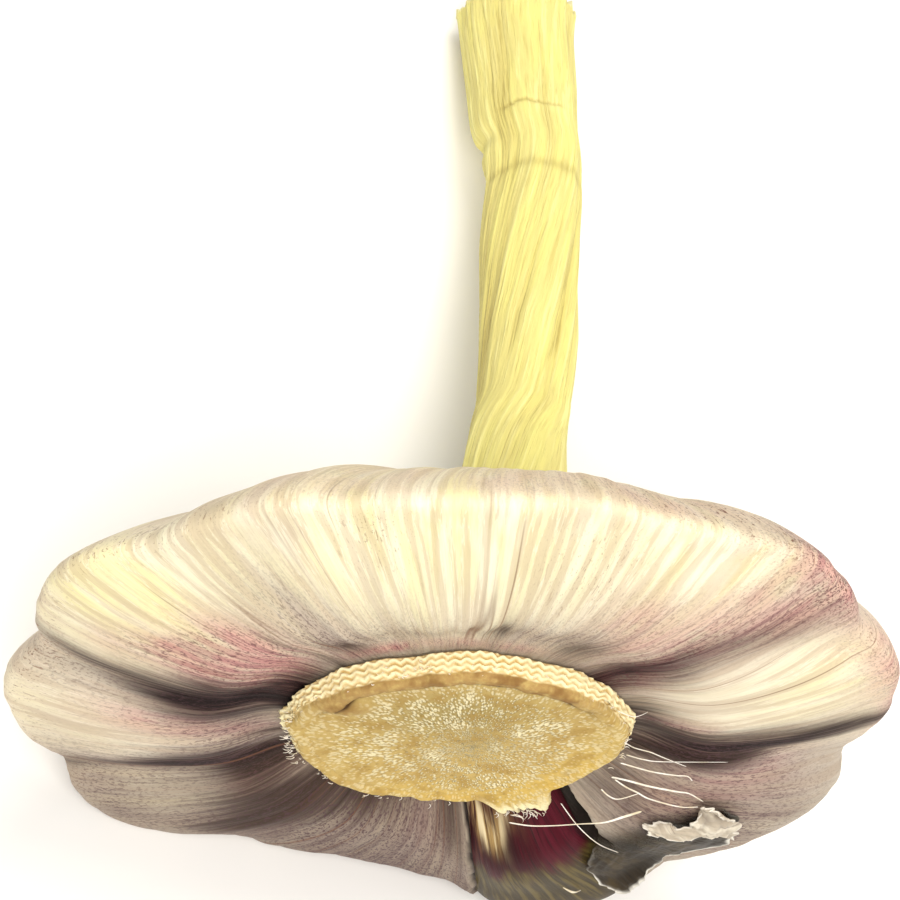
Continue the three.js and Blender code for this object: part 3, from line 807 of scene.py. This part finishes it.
def makeStem():
    rings = 260
    obj, turn, ring = ball("dryStem", 200, rings)
    t = np.clip((ring * rings - 3) / (rings - 8), 0, 1)
    capped = np.clip(3 - ring * rings, 0, 3) / 3
    end = np.clip(ring * rings - (rings - 5), 0, 5) / 5
    stations = np.repeat(np.array(stem["middles"], dtype=float)[None], len(t), axis=0)
    middle = splinePoints(stations, t)
    onward = splinePoints(stations, np.minimum(t + 0.01, 1)) - splinePoints(stations, np.maximum(t - 0.01, 0))
    onward /= np.linalg.norm(onward, axis=1, keepdims=True)
    across = eyeRight - onward[:, :1] * onward
    across /= np.linalg.norm(across, axis=1, keepdims=True)
    over = np.cross(across, onward)
    a = np.radians(turn)
    width = np.interp(t, np.linspace(0, 1, len(stem["widths"])), stem["widths"])
    foldPlace, foldAngle = np.array(stem["fold"], dtype=float).T
    around = np.degrees(a) - np.interp(t, foldPlace, foldAngle)
    ribs = waves(aroundPoint(around, t, 3, 3), 2, 3.0)
    fibres = waves(aroundPoint(around, t, 14, 5), 2, 6.0)
    crease = np.zeros_like(t)
    for place, arch, half, depth, edge in stem["creases"]:
        upperSide = smoothstep(np.sin(a) + 0.1 * ribs, edge - 0.15, edge + 0.1)
        crease += depth * np.exp(-((t - place - arch * (np.sin(a) - 1) + 0.004 * fibres) / half) ** 2) * upperSide
    dentPlace, dentHalf, dentDepth = stem["dent"]
    dent = dentDepth * np.exp(-((t - dentPlace) / dentHalf) ** 2) * smoothstep(-np.cos(a), 0.5, 1)
    mainFold = np.cos(np.radians(3 * around))
    folds = 0.045 * mainFold * (1 - 0.5 * smoothstep(t, 0.5, 0.7)) + 0.05 * ribs + 0.02 * fibres - dent
    half = width / 2 * (1 + folds - 0.035 * crease) * (1 - capped) * (1 - end)
    ragged = 0.7 * waves(aroundPoint(turn, 0 * a, 12, 0), 3, 9.0) * smoothstep(t, 0.98, 1)
    inward = ragged - 1.2 * smoothstep(end, 0.25, 1.0)
    flatness = lerp(1, stem["flatness"], smoothstep(t, 0, 0.15))
    points = (middle + across * (half * np.cos(a))[:, None] + over * (half * flatness * np.sin(a))[:, None]
              + onward * inward[:, None])
    setPoints(obj, toWorld(onTable(points)))
    # painted shade: the left side, the hollows of the folds and the creases are darkened
    keepValues(obj, streak=aroundPoint(around, t, 1, 2.2), all=np.ones_like(t),
               crease=np.clip(crease * 0.7, 0, 1),
               hollow=np.clip(-ribs - 0.35 * mainFold - 0.25 + 0.8 * smoothstep(-np.cos(a), 0.75, 1), 0, 1),
               tip=smoothstep(t, 0.975, 1.0) * 0.6)
    finishPiece(obj, stalkMaterial, "dry_stem", "stem")


makeStem()


# The bare clove in the window, a crowned shell whose edges run in under the skin.
clove = {
    "thickness": 0.4, "sink": 0.1, "edgeDrop": 0.75, "rightEdge": (304, 296.3),
    # where the burgundy turns to olive, and the middles and half sizes of its scuffs and of its patch of painted
    # shadow
    "turnsOlive": (0.27, 0.38), "scuffs": (0.22, 0.2, 0.11, 0.06), "darkest": (0.34, 0.3, 0.18, 0.16),
}


def makeClove():
    obj, u, v = grid("bareClove", 110, 90)
    window = bulb["window"]
    angle = lerp(window["left"] - 0.6, lerp(clove["rightEdge"][0], clove["rightEdge"][1], v) + 0.8, u)
    along = lerp(window["near"], window["far"] + 0.01, v)
    edge = np.maximum(np.abs(2 * u - 1) ** 6, np.abs(2 * v - 1) ** 9)
    place = np.stack([u * 4, v * 3, 0 * u], axis=-1)
    height = -clove["sink"] - clove["edgeDrop"] * edge + 0.06 * waves(place, 2, 8.0)
    setPoints(obj, toWorld(onTable(overSkin(angle, along, height))))
    wander = 0.07 * waves(place * 2.2, 3, 1.0)
    middleU, halfU, middleV, halfV = clove["scuffs"]
    scuffs = np.exp(-((u - middleU) / halfU) ** 2 - ((v - middleV - wander) / halfV) ** 2)
    # painted shadow: a patch on the clove, and its edges where they run in under the skin
    middleU, halfU, middleV, halfV = clove["darkest"]
    darkest = np.exp(-((u - middleU) / halfU) ** 2 - ((v - middleV) / halfV) ** 2)
    keepValues(obj, streak=aroundPoint(angle, along, 1, 1.6), all=np.ones_like(u),
               olive=smoothstep(v + wander, *clove["turnsOlive"]), scuff=scuffs,
               deep=darkest + smoothstep(edge, 0.5, 1))
    solidify(obj, clove["thickness"])
    finishPiece(obj, cloveMaterial, "clove_skin", "bare_clove")


makeClove()

# Torn sheets: the pixels of their edges in the photograph, each edge from its left or near end, and their finish.
sheets = {
    "tornMembrane": {
        "near": [(599, 826), (612, 816), (642, 808), (700, 800)],
        "far": [(601, 884), (620, 885), (644, 872), (668, 858), (684, 857), (728, 846)],
        "left": [(599, 826), (594, 841), (595, 862), (586, 871), (601, 884)],
        "right": [(700, 800), (735, 815), (728, 846)],
        "height": 0.5, "curl": 0.8, "crumple": 0.2, "thickness": 0.1, "paleNear": 0.1, "coverNear": 0,
    },
    "tornScrap": {
        "near": [(646, 833), (668, 829), (692, 829), (702, 812), (722, 816)],
        "far": [(650, 835), (683, 840), (700, 842), (714, 845), (733, 845)],
        "left": [(646, 833), (650, 835)],
        "right": [(722, 816), (739, 827), (733, 845)],
        "height": 1.3, "curl": 0.3, "crumple": 0.4, "thickness": 0.12, "paleNear": 0.8, "coverNear": 1,
    },
}


def edgeSpots(pixels, height, share):
    spot = np.array([seenOnSkin(x, y, height) for x, y in pixels])
    place = np.linspace(0, 1, len(spot))
    return np.stack([np.interp(share, place, spot[:, 0]), np.interp(share, place, spot[:, 1])], axis=-1)


def makeSheet(name, columns, rows, material, node):
    sheet = sheets[name]
    obj, u, v = grid(name, columns, rows)
    near, far = (edgeSpots(sheet[side], sheet["height"], u) for side in ("near", "far"))
    left, right = (edgeSpots(sheet[side], sheet["height"], v) for side in ("left", "right"))
    corners = [edgeSpots(sheet[side], sheet["height"], np.full_like(u, end)) for side in ("near", "far")
               for end in (0, 1)]
    u2, v2 = u[:, None], v[:, None]
    flat = lerp(corners[0], corners[1], u2) * (1 - v2) + lerp(corners[2], corners[3], u2) * v2
    spot = lerp(near, far, v2) + lerp(left, right, u2) - flat
    border = np.minimum(np.minimum(u, 1 - u) * 1.5, np.minimum(v, 1 - v))
    jag = waves(np.stack([u * 22, v * 12, 0 * u], axis=-1), 2, 4.0) * (1 - smoothstep(border, 0, 0.08))
    crumple = waves(np.stack([u * 6, v * 4, 0 * u], axis=-1), 4, 2.0)
    curl = sheet["curl"] * smoothstep(v, 0.86, 1.0) * np.sin(math.pi * np.clip(u * 1.7, 0, 1))
    height = sheet["height"] * (0.7 + 0.3 * smoothstep(border, 0, 0.3)) + sheet["crumple"] * crumple + curl
    points = overSkin(spot[:, 0] + 0.35 * jag, spot[:, 1] + 0.004 * jag, height)
    setPoints(obj, toWorld(onTable(points)))
    pale = lerp(sheet["paleNear"], 1, smoothstep(v, 0.7, 0.95))
    # painted shade where the sheet is crumpled inwards
    keepValues(obj, streak=aroundPoint(spot[:, 0], spot[:, 1], 1, 1.6), all=np.ones_like(u),
               edge=(1 - smoothstep(border + 0.012 * jag, 0, 0.035)) * pale,
               fold=np.clip(-crumple, 0, 1), cover=lerp(sheet["coverNear"], 1, smoothstep(v, 0.1, 0.65)))
    solidify(obj, sheet["thickness"])
    finishPiece(obj, material, "torn_skin", node)


makeSheet("tornMembrane", 150, 60, membraneMaterial, "torn_skin")
makeSheet("tornScrap", 110, 50, scrapMaterial, "torn_scrap")

# Threads between the plate's rim and the torn skin: pixels in the photograph with a height over the skin, and widths.
threads = [
    ([(618, 711, 2.0), (634, 713, 1.2), (648, 712, 0.5)], (0.09, 0.12, 0.075)),
    ([(622, 741, 2.0), (634, 745, 1.0), (651, 749, 0.5), (664, 755, 0.4), (687, 767, 0.3)], (0.105, 0.12, 0.06)),
    ([(626, 755, 2.0), (645, 757, 0.9), (665, 759, 0.5), (728, 762, 0.3)], (0.12, 0.135, 0.09, 0.045)),
    ([(620, 763, 2.0), (651, 769, 0.9), (676, 772, 0.6), (688, 774, 0.5), (692, 781, 0.4)],
     (0.135, 0.15, 0.12, 0.09)),
    ([(611, 777, 2.0), (628, 779, 1.2), (651, 784, 0.9), (676, 788, 0.7), (690, 792, 0.5), (703, 802, 0.4)],
     (0.18, 0.21, 0.195, 0.15, 0.105)),
    ([(601, 789, 2.0), (610, 794, 1.3), (619, 796, 0.9), (638, 793, 0.6)], (0.12, 0.15, 0.09)),
    ([(615, 780, 2.0), (626, 785, 1.1), (638, 790, 0.8), (651, 797, 0.6), (680, 805, 0.6), (699, 807, 0.6)],
     (0.12, 0.165, 0.15, 0.09)),
    ([(508, 822, 1.6), (530, 825, 1.7), (552, 824, 1.8), (582, 821, 1.8), (605, 820, 1.6), (623, 816, 1.3),
      (642, 812, 1.0)], (0.15, 0.15, 0.12, 0.12, 0.165, 0.27, 0.225)),
    ([(561, 803, 1.9), (579, 824, 1.5), (598, 841, 1.1), (619, 853, 0.9)], (0.075, 0.09, 0.06)),
    ([(563, 887, 0.3), (572, 889, 0.4), (580, 890, 0.3)], (0.075, 0.27, 0.15)),
]


def makeThreads():
    made = []
    for index, (points, widths) in enumerate(threads):
        spot = np.array([seenOnSkin(x, y, height) for x, y, height in points])
        lift = 0.3 * np.sin(np.linspace(0, math.pi, len(points)))
        path = overSkin(spot[:, 0], spot[:, 1], np.array([height for _, _, height in points]) + lift)
        made.append(tube("thread%d" % index, path, widths, 8, 40, 0.5))
    finishPiece(joined("skinThreads", made), threadMaterial, "torn_skin")


makeThreads()

# Fine fibres on the plate's rim: where they stand, how many, their length and how far they spread.
fibres = {
    "groups": [(182, 28, 70, 0.5), (293, 8, 60, 1.1), (225, 20, 26, 0.4), (355, 14, 14, 0.6), (260, 14, 18, 0.35),
               (90, 80, 60, 0.3)],
    "width": 0.07,
}


def makeFibres():
    # one tapering fibre, bent a little, and copies of it laid out along x
    first, turn, ring = ball("rimFibres", 5, 7)
    half = fibres["width"] / 2 * (1 - 0.6 * ring) * np.minimum(1, 4 * np.sin(math.pi * ring))
    a = np.radians(turn)
    shape = np.stack([ring, half * np.cos(a) + 0.15 * np.sin(math.pi * ring), half * np.sin(a)], axis=-1)
    made, tongueRow, centre = [], plate["tongue"], bulb["plateCentre"]
    for middle, halfAngle, count, length in fibres["groups"]:
        for _ in range(count):
            angle = dice.normal(middle, halfAngle / 2)
            a = math.radians(angle)
            tongue = tongueRow["length"] * math.exp(-((angle - tongueRow["angle"]) / tongueRow["half"]) ** 4)
            reach = plateEdge(np.array([angle]))[0] * (0.95 + tongue * dice.uniform(0.7, 1.0))
            start = np.array([centre[0] + reach * math.cos(a), centre[1] + reach * math.sin(a),
                              dice.uniform(-1.6, -0.2)])
            way = Vector(np.array([math.cos(a), math.sin(a), 0]) + dice.normal(0, 0.45, 3) * (1, 1, 0.5))
            turnTo = np.array(way.to_track_quat("X", "Z").to_matrix())
            far = way.length * length * dice.uniform(0.3, 1.0)
            fibre = first.copy()
            fibre.data = first.data.copy()
            bpy.context.collection.objects.link(fibre)
            setPoints(fibre, toWorld(start + (shape * (far, 1, 1)) @ turnTo.T))
            made.append(fibre)
    bpy.data.objects.remove(first)
    finishPiece(joined("rimFibres", made), threadMaterial, "root_plate")


makeFibres()


# Floor, lights and camera
studio = {
    "floor": "f6f6f4",
    # place in metres, size, power and colour
    "lights": {"key": ((0.05, 0.22, 0.62), 0.4, 2.7, "fffaf0"), "front": ((-0.1, -0.34, 0.62), 0.4, 4.3, "fffaf4"),
               "side": ((0.5, -0.1, 0.3), 0.35, 0.8, "fffaf4")},
    "sky": "f4f6fa", "skyStrength": 0.25,
}


def makeFloor():
    deselectAll()
    bpy.ops.mesh.primitive_plane_add(size=4)
    floor = bpy.context.object
    floor.name = "floor"
    material, tree, shader = newMaterial("pale matt table", Roughness=0.9, Specular_IOR_Level=0.1)
    shader.inputs["Base Color"].default_value = linear(studio["floor"])
    floor.data.materials.append(material)


def makeLights():
    for name, (place, size, power, color) in studio["lights"].items():
        light = bpy.data.lights.new(name, "AREA")
        light.shape, light.size, light.energy, light.color = "DISK", size, power, linear(color)[:3]
        obj = bpy.data.objects.new(name, light)
        bpy.context.collection.objects.link(obj)
        obj.location = place
        obj.rotation_euler = (Vector((0, 0, 0.02)) - Vector(place)).to_track_quat("-Z", "Y").to_euler()
    world = bpy.data.worlds.new("studio")
    world.use_nodes = True
    background = world.node_tree.nodes["Background"]
    background.inputs["Color"].default_value = linear(studio["sky"])
    background.inputs["Strength"].default_value = studio["skyStrength"]
    bpy.context.scene.world = world
    bpy.context.scene.view_settings.view_transform = "Standard"


def makeCamera():
    data = bpy.data.cameras.new("camera")
    data.sensor_width = camera["sensor"]
    data.lens = camera["sensor"] * camera["distance"] * camera["pixelsPerMm"] / (2 * camera["middle"])
    data.clip_start = 0.01
    obj = bpy.data.objects.new("camera", data)
    bpy.context.collection.objects.link(obj)
    axes = Matrix([turned @ Vector(way) for way in (eyeRight, eyeUp, eyeBack)]).transposed()
    obj.matrix_world = Matrix.Translation(Vector(toWorld([eye])[0])) @ axes.to_4x4()
    bpy.context.scene.camera = obj


makeFloor()
makeLights()
makeCamera()
print("floor, lights and camera set")
